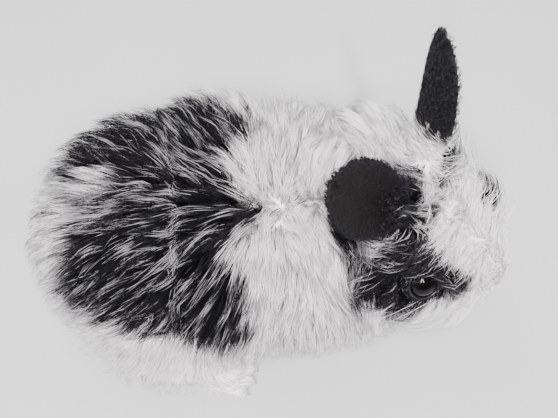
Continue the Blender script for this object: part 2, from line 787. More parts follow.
def ear_places(points):
    """The place of each point on its nearest ear."""
    share, across = np.meshgrid(np.linspace(0.02, 0.995, 60), np.linspace(-1, 1, 31), indexing="ij")
    own = ear_wall(share, across).reshape(-1, 3)
    step = 1e-3
    side_step = ear_wall(share, across + step).reshape(-1, 3) - own
    long_step = ear_wall(share + step, across).reshape(-1, 3) - own
    into_cup = unit_rows(np.cross(long_step, side_step))
    tree = tree_of(own)
    best = np.full(len(points), FAR)
    found = np.zeros((4, len(points)))
    for side in (1, -1):
        local = moved(ear_frame(side).inverted(), points)
        near = (np.abs(local[:, 1:]) < 16).all(1) & (local[:, 0] > -3)
        for i in np.flatnonzero(near):
            _, k, distance = tree.find(local[i])
            if distance < best[i]:
                best[i] = distance
                cup = float(np.dot(local[i] - own[k], into_cup[k]))
                found[:, i] = (share.flat[k], across.flat[k], cup, side)
    return EarPlaces(best, *found)


def skin_colours(points, ear):
    """The markings on the skin, with bare nose, lips, lid rims and ear cups."""
    colours = bpy.context.scene.rabbit_colours
    white, black = linear(colours.white_root), linear(colours.black_root)
    tint = blend(white, black, darkness(points))
    inside = in_head(points)
    u, v, w = inside.T
    bare = np.exp(-(((u - 27.5) / 2.6) ** 2) - (v / 3.6) ** 2 - ((w + 5) / 2.6) ** 2)
    lips = np.exp(-(((w - mouth_line(v)) / 0.9) ** 2)) * smooth_step(12, 16, u) * 0.8
    tint = blend(tint, linear(colours.skin), np.clip(np.maximum(bare, lips) * 1.3, 0, 1))
    from_root = np.linalg.norm(inside - mirrored(EAR_ROOT, -1), axis=1)
    tint = blend(tint, black, 1 - smooth_step(8, 11, from_root))
    tint = blend(tint, linear(colours.black), 1 - smooth_step(1.1, 1.35, eyes_distance(points)))
    hollow = smooth_step(-0.2, 0.4, ear.cup) * smooth_step(0.12, 0.4, ear.share)
    hollow = hollow * (1 - smooth_step(0.55, 0.95, np.abs(ear.across)))
    dark_ear = blend(linear(colours.black), linear(colours.inner_ear), hollow)
    pale_root = (1 - smooth_step(0.16, 0.34, ear.share)) * (ear.side == 1)
    dark_ear = blend(dark_ear, white, pale_root)
    return np.where(ear.near(0.12, 2.2)[:, None], dark_ear, tint)


def build_skin():
    """The whole skin, shaped, smoothed and painted."""
    skin = fused_skin()
    mesh = skin.data
    points = points_of(mesh)
    points[:, 2] = np.maximum(points[:, 2], 0.0)
    inside = in_head(points)
    head = (np.linalg.norm(inside - (2, 0, -3), axis=1) < 30) & (inside[:, 0] > -20)
    amount = np.where(head, 0.42, 0.62)
    amount = np.where((inside[:, 0] > 18) & head, 0.28, amount)
    amount = np.where(ear_places(points).near(0.15, 2.5), 0.35, amount)
    set_points(mesh, relaxed(mesh, points, amount, 14))
    refine_face(skin)
    points = points_of(mesh)
    points = relaxed(mesh, points, np.full(len(points), 0.3), 3)
    set_points(mesh, shape_openings(points))
    points = shape_muzzle(points_of(mesh), normals_of(mesh))
    points[:, 2] = np.maximum(points[:, 2], 0.0)
    paint(mesh, skin_colours(points, ear_places(points)))
    set_points(mesh, to_world(points))
    mesh.shade_smooth()
    return skin


# ---- The coat ----


class Fleece(NamedTuple):
    """One part of the coat: its region, its count of strands and the count of places along a strand."""

    region: str
    strands: int
    rings: int


def skin_samples(pieces):
    """The triangles of some pieces in mm: points, their normals, the corners and each one's piece number."""
    points, normals, corners, owner = [], [], [], []
    for number, piece in enumerate(pieces):
        mesh = piece.data
        mesh.calc_loop_triangles()
        own = np.empty(len(mesh.loop_triangles) * 3, np.int32)
        mesh.loop_triangles.foreach_get("vertices", own)
        corners.append(own.reshape(-1, 3) + sum(len(part) for part in points))
        points.append(to_rabbit(points_of(mesh)))
        normals.append(normals_of(mesh))
        owner.append(np.full(len(own) // 3, number))
    return [np.concatenate(rows) for rows in (points, normals, corners, owner)]


def spread(points, normals, corners, weights, count, draw):
    """Roots spread over triangles by weight, with the normal at each."""
    first, second, third = (points[corners[:, k]] for k in range(3))
    area = np.linalg.norm(np.cross(second - first, third - first), axis=1) * weights
    chosen = draw.choice(len(corners), size=count, p=area / area.sum())
    a, b = np.sort(draw.random((2, count)), axis=0)
    shares = np.stack([a, b - a, 1 - b], axis=1)[:, :, None]
    roots = (points[corners[chosen]] * shares).sum(1)
    facing = unit_rows((normals[corners[chosen]] * shares).sum(1))
    return roots, facing


def thinned(roots, spacing):
    """Which roots to keep so that no two are nearer than their spacing."""
    cell = float(spacing.min())
    grid = {}
    kept = []
    for i, (place, gap) in enumerate(zip(roots, spacing)):
        key = tuple(np.floor(place / cell).astype(int))
        near = range(-math.ceil(gap / cell), math.ceil(gap / cell) + 1)
        cells = [(key[0] + dx, key[1] + dy, key[2] + dz) for dx in near for dy in near for dz in near]
        others = [place - other for one in cells for other in grid.get(one, ())]
        if all(np.dot(off, off) >= gap * gap for off in others):
            grid.setdefault(key, []).append(place)
            kept.append(i)
    return np.array(kept)


def head_coat(inside, depths):
    """The coat's depth on the head: full beside the muzzle, short on the nose and lips."""
    u, v, w = inside.T
    side = smooth_step(4.5, 9.5, np.abs(v))
    front = smooth_step(17, 26, u)
    low = 1 - smooth_step(-8, 2, w)
    puff = side * (8.8 + 2.2 * low - 3.6 * front)
    bridge = 4.2 + 1.8 * (1 - smooth_step(-8, 6, u))
    depths = np.maximum(depths, np.maximum(puff, bridge))
    for ear_side, fluff in ((1, 10.5), (-1, 7.5)):
        from_root = np.linalg.norm(inside - mirrored(EAR_ROOT, ear_side), axis=1)
        depths = np.maximum(depths, fluff * (1 - smooth_step(6, 13, from_root)))
    nose = smooth_step(4.5, 9.5, np.linalg.norm(inside - np.array([27, 0, -6]), axis=1))
    lips = smooth_step(16, 20, u) * (1 - smooth_step(-11, -8, w)) * (1 - smooth_step(6, 9, np.abs(v)))
    return (0.6 + (depths - 0.6) * nose) * (1 - 0.65 * lips)


def hair_sizes(points, regions, depths, ear):
    """Length of the hair and how far its tips stand off the skin, in mm."""
    coat = bpy.context.scene.rabbit_coat
    inside = in_head(points)
    u, v, w = inside.T
    depths = np.where(regions == "head", head_coat(inside, depths), depths)
    length = depths * coat.length + 0.8
    stand = depths * (0.5 + 0.45 * smooth_step(2, 8, depths))
    parted = (1 - smooth_step(0.8, 3.2, from_furrow(points))) * (points[:, 2] > 50)
    stand = stand * (1 - 0.45 * parted)
    for side in (1, -1):
        off = np.linalg.norm(points - eye_axes(side)[0], axis=1)
        near = smooth_step(6.6, 11, off)
        length = np.where(off < 11, np.minimum(length, 1.8 + (length - 1.8) * near), length)
        stand = np.where(off < 11, np.minimum(stand, 0.55 + (stand - 0.55) * near), stand)
    on_ear = ear.near()
    cup = on_ear & (ear.cup > 0.1)
    tuft = 1 - smooth_step(0.1, 0.42, ear.share)
    rim = np.maximum(smooth_step(0.82, 0.98, np.abs(ear.across)), smooth_step(0.88, 0.97, ear.share))
    ear_length = np.where(cup, 1.8 + 5 * tuft, 2.6 + 7 * tuft) + 1.2 * rim
    ear_stand = np.where(cup, 0.5 + 1.8 * tuft, 0.6 + 3.0 * tuft) + 0.7 * rim
    length = np.where(on_ear, ear_length, length)
    stand = np.where(on_ear, ear_stand, stand)
    length = length * (0.45 + 0.55 * smooth_step(2, 9, points[:, 2]))
    feet = (regions != "head") & (points[:, 2] < 14) & ~on_ear
    length = np.where(feet, np.maximum(length, 3.6), length)
    bare = np.exp(-(((u - 27.8) / 1.8) ** 2) - (v / 2.9) ** 2 - ((w + 4.6) / 2.0) ** 2)
    length = np.where((bare > 0.35) | (eyes_distance(points) < 1.04), 0.0, length)
    return length, stand


def head_lie(inside):
    """The lie of the head's coat in its own frame: back over the crown and out over the cheeks."""
    u, v, w = inside.T
    sideways = np.clip(v / 6, -1, 1)
    low = 1 - smooth_step(-5, 5, w)
    front = smooth_step(8, 20, u)
    back = np.stack([-0.45 - 0.55 * front, (1.1 - 0.5 * front) * sideways, 0.1 - 0.6 * low], axis=1)
    puff = np.stack([np.full(len(inside), -0.3), 1.1 * np.sign(v), 0.3 - 0.8 * low], axis=1)
    lie = blend(back, puff, smooth_step(5, 11, np.abs(v)) * smooth_step(-8, 4, u))
    for side in (1, -1):
        looks = unit_rows(mirrored(EYE_LOOKS, side))
        off = inside - mirrored(EYE_PLACE, side)
        away = unit_rows(off - np.outer(off @ looks, looks))
        near = (1 - smooth_step(7.5, 13, np.linalg.norm(off, axis=1)))[:, None]
        lie = unit_rows(lie)
        towards = np.minimum((lie * away).sum(1), 0)[:, None]
        lie = lie - near * towards * away + 0.3 * near * away
    return lie


def lie_of_coat(points, shares, ear):
    """Which way the coat lies at each point, before it is laid along the skin."""
    trunk = unit_rows(unit_rows(points - np.array(WHORL)) + np.array(BACK_DRIFT))
    neck = unit_rows(unit_rows(points - np.array(HEAD_CENTRE)) + np.array(NECK_DRIFT))
    neck = unit_rows(blend(trunk, neck, smooth_step(16, 32, points[:, 0])))
    head = unit_rows(head_lie(in_head(points)) @ np.array(head_frame().to_3x3()).T)
    for side in (1, -1):
        frame_of_ear = ear_frame(side)
        off = np.linalg.norm(points - np.array(frame_of_ear.translation), axis=1)
        near = (1 - smooth_step(5, 13, off))[:, None]
        head = unit_rows(head * (1 - 0.6 * near) + 0.6 * near * np.array(frame_of_ear.to_3x3())[:, 0])
    foot = 1 - smooth_step(7, 14, points[:, 2])
    outward = 0.25 * np.sign(points[:, 1] - CHEST_MIDDLE)
    fore = np.stack([np.full(len(points), 0.25), outward, np.full(len(points), -1.0)], axis=1)
    fore = unit_rows(blend(fore, FORE_FOOT_LIE, foot))
    hind = unit_rows(blend(trunk, HIND_FOOT_LIE, foot))
    ways = {"torso": trunk, "neck": neck, "head": head, "tail": np.array(TAIL_LIE)}
    for word in SIDES.values():
        ways |= {"fore_leg_" + word: fore, "hind_leg_" + word: hind}
    lie = sum(shares[region][:, None] * way for region, way in ways.items())
    for side in (1, -1):
        along, across, _ = np.array(ear_frame(side).to_3x3()).T
        on_ear = ear.near() & (ear.side == side)
        lie[on_ear] = (along + np.outer(0.35 * ear.across, across))[on_ear]
    return unit_rows(lie)


def region_of(points):
    """The coat's depth, the region, each region's share and the place on an ear of each point."""
    depths, regions, shares = nearest_masses(points)
    ear = ear_places(points)
    regions = regions.astype("U16")
    for side, word in SIDES.items():
        regions[ear.near() & (ear.side == side)] = "ear_" + word
    return depths, regions, shares, ear


def laid_guides(tree, roots, facing, draw):
    """The middle lines of locks: out of the skin and along the lie of the coat, as rows of points in mm."""
    depths, regions, shares, ear = region_of(roots)
    length, stand = hair_sizes(roots, regions, depths, ear)
    length = length * draw.uniform(0.85, 1.12, len(roots))
    stand = np.minimum(stand * draw.uniform(0.75, 1.2, len(roots)), 0.93 * length)
    sway = np.radians(draw.normal(0, 7, len(roots)))
    feet, normals = roots.copy(), facing.copy()
    heading = lie_of_coat(roots, shares, ear)
    off_ear = ear._replace(reach=np.full(len(roots), FAR))
    path = [roots.copy()]
    old_height = np.zeros(len(roots))
    for step in range(1, GUIDE_STEPS + 1):
        share = step / GUIDE_STEPS
        height = stand * (1 - (1 - share) ** 1.8)
        run = np.sqrt(np.maximum((length / GUIDE_STEPS) ** 2 - (height - old_height) ** 2, 1e-6))
        old_height = height
        lie = lie_of_coat(feet, nearest_masses(feet)[2], off_ear)
        lie = np.where((ear.reach < 2.4)[:, None], heading, lie)
        along = heading * 0.4 + lie * 0.6
        along = unit_rows(along - normals * (along * normals).sum(1, keepdims=True))
        turn = (sway + np.radians(20) * noise(feet, 14, 7)) * (0.4 + 0.6 * share)
        across = np.cross(normals, along)
        heading = unit_rows(along * np.cos(turn)[:, None] + across * np.sin(turn)[:, None])
        for i, place in enumerate(feet + heading * run[:, None]):
            found = tree.find_nearest(place)
            feet[i] = found[0]
            normals[i] = normals[i] * 0.35 + np.array(found[1]) * 0.65
        normals = unit_rows(normals)
        path.append(feet + normals * height[:, None])
    path = np.stack(path, axis=1)
    path[:, :, 2] = np.maximum(path[:, :, 2], 0.5)
    return path, length


def strand_paths(pelt, roots, facing, rings):
    """Each strand's middle line, drawn towards that of its lock, and which lock it is in."""
    draw = pelt.draw
    clump = bpy.context.scene.rabbit_coat.clump
    tree = tree_of(pelt.guides[:, 0])
    nearest = np.array([tree.find(place)[1] for place in roots])
    guide = pelt.guides[nearest]
    short = draw.random(len(roots)) < 0.36
    scale = np.where(short, draw.uniform(0.45, 0.8, len(roots)), draw.uniform(0.82, 1.05, len(roots)))
    shares = np.linspace(0, 1, rings) ** 0.9
    at = shares[None, :] * scale[:, None] * GUIDE_STEPS
    low = np.minimum(at.astype(int), GUIDE_STEPS - 1)
    part = (at - low)[:, :, None]
    rows = np.arange(len(roots))[:, None]
    middle = guide[rows, low] * (1 - part) + guide[rows, low + 1] * part
    shift = (roots - guide[:, 0])[:, None, :]
    draws_in = np.where(draw.random(len(roots)) < 0.05, 0.1, clump * draw.uniform(0.6, 1.2, len(roots)))
    keep = 1 - draws_in[:, None, None] * shares[None, :, None] ** 1.4
    length = np.linalg.norm(guide[:, -1] - guide[:, 0], axis=1)
    wander = draw.normal(0, 1, (len(roots), 1, 3)) * (0.035 * length + 0.05)[:, None, None]
    bend = draw.normal(0, 1, (len(roots), 1, 3)) * (0.02 * length)[:, None, None]
    swing = shares[None, :, None]
    path = middle + shift * keep + wander * swing + bend * np.sin(swing * 3.0)
    path[:, :, 2] = np.maximum(path[:, :, 2], 0.35)
    path[:, 0] -= facing * ROOT_DEPTH
    return path, nearest


def strand_mesh(name, path, facing, widths, patches):
    """Closed three-sided strands that taper to a tip, each with its own small patch of the unwrap."""
    count, rings = path.shape[:2]
    along = np.diff(path, axis=1)
    along = unit_rows(np.concatenate([along, along[:, -1:]], axis=1))
    across = unit_rows(np.cross(along, facing[:, None, :]) + 1e-6)
    above = np.cross(across, along)
    profile = np.interp(np.linspace(0, 1, rings), *np.array(STRAND_PROFILE).T)
    half = widths[:, None] * profile[None, :] / 2
    points = []
    for angle in (90, 210, 330):
        x, y = math.cos(math.radians(angle)), math.sin(math.radians(angle)) * 0.75
        points.append(path[:, :-1] + (across * x + above * y)[:, :-1] * half[:, :-1, None])
    body = np.stack(points, axis=2).reshape(count, -1, 3)
    vertices = np.concatenate([body, path[:, -1:]], axis=1)
    each = vertices.shape[1]
    faces = [(2, 1, 0)]
    for row in range(rings - 1):
        for k in range(3):
            a, b = row * 3 + k, row * 3 + (k + 1) % 3
            if row < rings - 2:
                faces += [(a, b, b + 3), (a, b + 3, a + 3)]
            else:
                faces.append((a, b, each - 1))
    faces = np.array(faces)
    corners = (faces[None] + np.arange(count)[:, None, None] * each).reshape(-1)
    mesh = mesh_of(name, to_world(vertices.reshape(-1, 3)), corners, np.full(count * len(faces), 3))
    spot = np.zeros((each, 2))
    spot[:-1, 0] = np.tile([0.0, 0.4, 0.8], rings - 1)
    spot[:-1, 1] = np.repeat(np.linspace(0, 1, rings)[:-1], 3)
    spot[-1] = (0.4, 1.0)
    places = np.clip(patches[:, None, :], 0.002, 0.994) + spot[None] * PATCH_SIZE
    layer = mesh.uv_layers.new(name="OFBake")
    layer.data.foreach_set("uv", places.reshape(-1, 2)[corners].astype(np.float32).ravel())
    return mesh


def unwrapped(roots, region):
    """Where each root is on an unwrap of the skin, from 0 to 1."""
    if region == "head":
        u, v, w = unit_rows(in_head(roots) - np.array([0, 0, -4])).T
        share = np.arcsin(np.clip(u, -1, 1)) / np.pi + 0.5
        return np.stack([np.arctan2(v, w) / (2 * np.pi) + 0.5, share], axis=1)
    if region.startswith("ear"):
        local = moved(ear_frame(1 if region.endswith("left") else -1).inverted(), roots)
        turn = np.arctan2(local[:, 1], local[:, 2]) / (2 * np.pi) + 0.5
        return np.stack([turn, np.clip(local[:, 0] / (EAR_LENGTH * 1.05), 0, 1)], axis=1)
    low, high = roots.min(0), roots.max(0)
    middle = (low + high) / 2
    long_way = int(np.argmax(high - low))
    others = [k for k in range(3) if k != long_way]
    turn = np.arctan2(*(roots[:, others] - middle[others]).T) / (2 * np.pi) + 0.5
    share = (roots[:, long_way] - low[long_way]) / (high[long_way] - low[long_way] + 1e-6)
    return np.stack([turn, share], axis=1)


def strand_colours(path, nearest, region, draw):
    """Root-to-tip colours of the strands' vertices, by the markings, with scattered silver and grey hairs."""
    colours = bpy.context.scene.rabbit_colours
    count, rings = path.shape[:2]
    slide = draw.normal(0, 0.12, (count, 1, 1)) * (path[:, -1] - path[:, 0])[:, None, :]
    dark = np.ones((count, rings))
    if region == "ear_left":
        dark = np.tile(smooth_step(0.08, 0.5, ear_places(path[:, 0]).share)[:, None], (1, rings))
    elif region != "ear_right":
        dark = darkness((path + slide).reshape(-1, 3)).reshape(count, rings)
    dark[:, 0] = dark[:, 1]
    locks = int(nearest.max()) + 1
    lock_draw, lock_share = np.random.default_rng(LOCK_SEED).random((2, locks))[:, nearest]
    own_draw = draw.random(count)
    edge = (0.2 + 0.3 * lock_draw + 0.3 * own_draw)[:, None]
    dark = smooth_step(edge - 0.14, edge + 0.14, dark)
    along = np.linspace(0, 1, rings)[None, :]
    streaks = 0.26 + 0.2 * noise(path[:, 0], 10, 11)
    silver = (lock_share < streaks) & (own_draw < 0.62) | (own_draw < 0.06)
    silver = silver * draw.uniform(0.35, 1.0, count)
    if region not in ("torso", "neck") and not region.startswith("hind"):
        silver = silver * (own_draw < (0.0 if region.startswith("ear") else 0.1))
    grey = ((lock_share > 0.94) & (own_draw < 0.6) | (own_draw > 0.97)) * draw.uniform(0.2, 0.8, count)
    depth = smooth_step(0.05, 0.7, along)
    whites = blend(linear(colours.white_root), linear(colours.white), depth)
    whites = blend(whites, linear(colours.grey), grey[:, None] * smooth_step(0.3, 0.8, along))
    blacks = blend(linear(colours.black_root), linear(colours.black), depth)
    blacks = blend(blacks, linear(colours.silver), silver[:, None] * smooth_step(0.25, 0.7, along))
    shown = blend(whites, blacks, dark) * draw.uniform(0.84, 1.06, count)[:, None, None]
    rows = np.repeat(shown[:, :-1], 3, axis=1)
    return np.concatenate([rows, shown[:, -1:]], axis=1)


def coat_parts():
    """The regions of the coat, with how many strands each has and how many places along one."""
    coat = bpy.context.scene.rabbit_coat
    parts = [Fleece("torso", int(coat.trunk * 0.82), 4), Fleece("neck", int(coat.trunk * 0.18), 4)]
    parts += [Fleece("head", coat.head, 4), Fleece("tail", 1200, 4)]
    for word in SIDES.values():
        parts.append(Fleece("hind_leg_" + word, 3000, 4))
        parts.append(Fleece("fore_leg_" + word, 2200, 4))
        parts.append(Fleece("ear_" + word, 8000, 3))
    return parts


def haired(points, facing, on_lids):
    """Where hair grows: on the lids' outer slopes, and on the skin outside them."""
    grows = np.ones(len(points), bool)
    for side in (1, -1):
        out = eye_distance(points, side)
        outward = (unit_rows(points - eye_axes(side)[0]) * facing).sum(1) > 0.35
        grows &= np.where(on_lids, outward | (out > 2), out > 1.28)
    return grows


class Pelt(NamedTuple):
    """The triangles that hair grows on, how densely it grows on each, and the middle lines of the locks."""

    points: np.ndarray
    normals: np.ndarray
    corners: np.ndarray
    regions: np.ndarray
    density: np.ndarray
    guides: np.ndarray
    guide_lengths: np.ndarray
    draw: np.random.Generator


def lock_spacing(length):
    """How far apart the locks of hair of this length stand, in mm."""
    return 0.055 * length + 0.65


def lay_pelt(skin, lids):
    """Read the skin and the lids, and lay every lock's middle line along them."""
    draw = np.random.default_rng(SEED)
    points, normals, corners, owner = skin_samples([skin, *lids])
    middles = points[corners].mean(1)
    facing = unit_rows(normals[corners].mean(1))
    depths, regions, _, ear = region_of(middles)
    length = hair_sizes(middles, regions, depths, ear)[0]
    usable = (length > 0.5) & (middles[:, 2] > 0.6) & haired(middles, facing, owner > 0)
    density = np.where(usable, 1 / (np.maximum(length, 1.5) * (0.62 + 0.025 * length)), 0)
    density *= np.where((facing[:, 2] < -0.5) & (middles[:, 2] < 14), 0.35, 1)
    density *= np.where(ear.near(0.3) & (ear.cup > 0.1), 0.45, 1)
    weights = np.where(usable, 1 / lock_spacing(length) ** 2, 0)
    roots, root_facing = spread(points, normals, corners, weights, LOCK_TRIES, draw)
    root_depths, root_regions, _, root_ear = region_of(roots)
    kept = thinned(roots, lock_spacing(hair_sizes(roots, root_regions, root_depths, root_ear)[0]))
    tree = BVHTree.FromPolygons(points.tolist(), corners.tolist())
    guides, guide_lengths = laid_guides(tree, roots[kept], root_facing[kept], draw)
    return Pelt(points, normals, corners, regions, density, guides, guide_lengths, draw)


def build_coat(pelt, part):
    """The strands of one region, split into pieces that stay within the most triangles."""
    density = np.where(pelt.regions == part.region, pelt.density, 0)
    roots, facing = spread(pelt.points, pelt.normals, pelt.corners, density, part.strands, pelt.draw)
    path, nearest = strand_paths(pelt, roots, facing, part.rings)
    hair = bpy.context.scene.rabbit_coat.hair / MM
    widths = hair * (0.5 + 0.045 * pelt.guide_lengths[nearest]) * pelt.draw.uniform(0.75, 1.25, len(roots))
    tints = strand_colours(path, nearest, part.region, pelt.draw)
    patches = unwrapped(roots, part.region)
    each = 6 * (part.rings - 2) + 4
    pieces = max(1, math.ceil(part.strands * each / MOST_TRIANGLES))
    made = []
    for number, chosen in enumerate(np.array_split(np.argsort(roots[:, 0]), pieces), 1):
        name = f"coat_{part.region}" + (f"_{number}" if pieces > 1 else "")
        mesh = strand_mesh(name, path[chosen], facing[chosen], widths[chosen], patches[chosen])
        paint(mesh, tints[chosen].reshape(-1, 3))
        made.append(add_object(name, mesh))
    return made


# ---- Eyes, lids, whiskers and claws ----


def build_eye(side):
    """A wet eyeball with its cornea domed a little, painted from the pupil out."""
    centre, _, _, looks = eye_axes(side)
    bm = bmesh.new()
    bmesh.ops.create_icosphere(bm, subdivisions=5, radius=EYE_RADIUS)
    mesh = finished(bm, "eye")
    points = points_of(mesh)
    angle = np.degrees(np.arccos(np.clip(unit_rows(points) @ looks, -1, 1)))
    points *= (1 + 0.035 * np.exp(-((angle / 38) ** 2)))[:, None]
    colours = bpy.context.scene.rabbit_colours
    iris = np.array(linear(colours.eye))
    tint = blend(iris, linear(colours.pupil), 1 - smooth_step(24, 29, angle))
    tint = blend(tint, iris * 2.2, smooth_step(30, 44, angle) * (1 - smooth_step(52, 60, angle)))
    tint = blend(tint, iris * 0.5, smooth_step(54, 62, angle))
    paint(mesh, tint)
    set_points(mesh, to_world(points + centre))
    mesh.shade_smooth()
    return add_object("eyeball_" + SIDES[side], mesh)


# A lid's section from its outer edge to the rim and back under, as shares of the opening and radii in mm
LID_SECTION = (
    (1.34, 6.15), (1.27, 6.36), (1.19, 6.42), (1.12, 6.32), (1.06, 6.28), (1.015, 6.08),
    (0.98, 5.82), (0.97, 5.62), (1.0, 5.2), (1.12, 5.6), (1.27, 5.9),
)


def build_lids(side):
    """A soft ring of eyelid with a crease above and a dark moist rim, resting on the eyeball."""
    centre, along, above, looks = eye_axes(side)
    turn = np.linspace(0, 2 * np.pi, LID_STEPS, endpoint=False)
    rows = []
    for share, radius in LID_SECTION:
        fold = 0.16 * np.clip(np.sin(turn), 0, 1) * (1.02 < share < 1.28)
        ripple = 0.05 * np.sin(turn * 9 + share * 20) * (share > 1.05)
        x = LID_OPENING[0] * share * np.cos(turn)
        y = LID_OPENING[1] * share * np.sign(np.sin(turn)) * np.abs(np.sin(turn)) ** 1.12
        height = np.sqrt(np.maximum((radius + fold + ripple) ** 2 - x**2 - y**2, 0.02))
        rows.append(centre + np.outer(x, along) + np.outer(y, above) + np.outer(height, looks))
    faces = []
    for i in range(len(rows)):
        for j in range(LID_STEPS):
            this, after = i * LID_STEPS, (i + 1) % len(rows) * LID_STEPS
            beside = (j + 1) % LID_STEPS
            faces.append((this + j, this + beside, after + beside, after + j))
    faces = np.array(faces)
    name = "lids_" + SIDES[side]
    mesh = mesh_of(name, to_world(np.concatenate(rows)), faces.ravel(), np.full(len(faces), 4))
    face_outward(mesh)
    return add_object(name, mesh)


def face_outward(mesh):
    """Turn a closed mesh's faces so that they all face out."""
    bm = bmesh.new()
    bm.from_mesh(mesh)
    bmesh.ops.recalc_face_normals(bm, faces=bm.faces)
    if bm.calc_volume(signed=True) < 0:
        bmesh.ops.reverse_faces(bm, faces=bm.faces)
    bm.to_mesh(mesh)
    bm.free()


def bristle_tree():
    """Tapered round bristles along the edges of a mesh, thick at the root and fine at the tip."""
    tree = bpy.data.node_groups.new("bristles", "GeometryNodeTree")
    face = tree.interface
    face.new_socket("Geometry", in_out="INPUT", socket_type="NodeSocketGeometry")
    for name, value, subtype in (("Width", 0.22 * MM, "DISTANCE"), ("Tip width", 0.12, "FACTOR")):
        socket = face.new_socket(name, in_out="INPUT", socket_type="NodeSocketFloat")
        socket.default_value, socket.min_value, socket.subtype = value, 0.0, subtype
    face.new_socket("Material", in_out="INPUT", socket_type="NodeSocketMaterial")
    face.new_socket("Geometry", in_out="OUTPUT", socket_type="NodeSocketGeometry")
    start = add_node(tree, "NodeGroupInput").outputs
    curve = add_node(tree, "GeometryNodeMeshToCurve", {"Mesh": start["Geometry"]}).outputs["Curve"]
    along = add_node(tree, "GeometryNodeSplineParameter").outputs["Factor"]
    taper = {"Value": along, "To Min": 1.0, "To Max": start["Tip width"]}
    scale = add_node(tree, "ShaderNodeMapRange", taper).outputs["Result"]
    half = add_node(tree, "ShaderNodeMath", {0: start["Width"], 1: 0.5}, operation="MULTIPLY").outputs[0]
    ring = add_node(tree, "GeometryNodeCurvePrimitiveCircle", {"Resolution": 6, "Radius": half})
    swept = {"Curve": curve, "Profile Curve": ring.outputs["Curve"], "Scale": scale, "Fill Caps": True}
    tube = add_node(tree, "GeometryNodeCurveToMesh", swept).outputs["Mesh"]
    smooth = add_node(tree, "GeometryNodeSetShadeSmooth", {"Geometry": tube}).outputs["Geometry"]
    real = add_node(tree, "GeometryNodeRealizeInstances", {"Geometry": smooth}).outputs["Geometry"]
    named = {"Geometry": real, "Material": start["Material"]}
    shown = add_node(tree, "GeometryNodeSetMaterial", named).outputs["Geometry"]
    add_node(tree, "NodeGroupOutput", {"Geometry": shown})
    return tree


def grow_bristles(name, paths, width, tip, material):
    """A mesh of bristles along these rows of points in mm."""
    points = to_world(np.concatenate(paths))
    mesh = bpy.data.meshes.new(name)
    edges = []
    first = 0
    for path in paths:
        edges += [(first + i, first + i + 1) for i in range(len(path) - 1)]
        first += len(path)
    mesh.from_pydata([tuple(p) for p in points], edges, [])
    obj = add_object(name, mesh)
    grow = obj.modifiers.new("bristles", "NODES")
    grow.node_group = bpy.data.node_groups.get("bristles") or bristle_tree()
    sockets = {item.name: item.identifier for item in grow.node_group.interface.items_tree}
    grow[sockets["Width"]] = width
    grow[sockets["Tip width"]] = tip
    grow[sockets["Material"]] = material
    settle(obj)
    return obj


def whisker_paths(draw):
    """Whiskers from the pads beside the nose, and a few over each eye, in mm."""
    paths = []
    for side in (1, -1):
        for row in range(4):
            for k in range(4 - row % 2):
                root = np.array([22.5 - 2.3 * k, side * (6.3 + 1.25 * k), -6.5 - 1.6 * row + 0.3 * k])
                length = 17 + 3.2 * k + draw.uniform(-2, 2)
                rise = 0.22 - 0.2 * row + draw.normal(0, 0.05)
                aim = unit_rows(np.array([0.2 - 0.3 * k, side * (1.0 + 0.1 * k), rise]))
                droop = np.array([-0.25, 0, -0.35]) * draw.uniform(0.6, 1.3)
                s = np.linspace(0, 1, 14)[:, None]
                paths.append(root - aim * 1.2 + length * (s * aim + s**2 * droop * 0.5))
        for k in range(3):
            root = np.array([2.0 - 1.5 * k, side * (13.5 - 0.8 * k), 9.5 - 0.5 * k])
            aim = unit_rows(np.array([0.2 - 0.35 * k, side * 0.7, 1.0]))
            s = np.linspace(0, 1, 10)[:, None]
            paths.append(root - aim + (9 + 2 * k) * (s * aim + s**2 * np.array([-0.25, side * 0.1, -0.15])))
    return [moved(head_frame(), path) for path in paths]


def lash_paths(draw):
    """Short lashes along both rims of each eye, in mm."""
    paths = []
    for side in (1, -1):
        centre, along, above, looks = eye_axes(side)
        for upper, count, length in ((1, 24, 2.6), (-1, 14, 1.4)):
            for k in range(count):
                turn = math.radians(20 + 140 * (k + draw.uniform(-0.3, 0.3)) / (count - 1))
                x = LID_OPENING[0] * 1.04 * math.cos(turn)
                y = LID_OPENING[1] * 1.04 * math.sin(turn) * upper
                height = math.sqrt(max(LID_RADIUS**2 - x * x - y * y, 0.1))
                root = centre + along * x + above * y + looks * (height - 0.4)
                out = unit_rows(along * x + above * y)
                s = np.linspace(0, 1, 7)[:, None]
                reach = length * draw.uniform(0.8, 1.15)
                paths.append(root + reach * (s * (looks * 0.9 + out * 0.3) + s**2 * out * 0.5))
    return paths


def claw_paths():
    """A short curved claw at the end of every toe, in mm."""
    paths = []
    for toes, masses, middle in ((HIND_TOES, HIND_LEG, 0), (FORE_TOES, FORE_LEG, CHEST_MIDDLE)):
        turned = Matrix.Rotation(math.radians(masses[-1].turn), 3, "Z")
        forward, across = turned @ Vector((1, 0, 0)), turned @ Vector((0, 1, 0))
        for side in (1, -1):
            for i in range(4):
                reach = TOE_RADII[0] + (0.3 if i in (1, 2) else -1.5)
                place = Vector(toes) + across * TOE_SPACING * (i - 1.5) + forward * (reach - 3.4)
                place.y = middle + side * (place.y - middle)
                place.z -= 0.9
                s = np.linspace(0, 1, 9)[:, None]
                own = np.array(place) + (CLAW_LENGTH + 1.2) * s * mirrored(forward, side)
                own = own - s**2 * np.array([0, 0, 1.7])
                own[:, 2] = np.maximum(own[:, 2], 0.5)
                paths.append(own)
    return paths


# ---- Materials ----


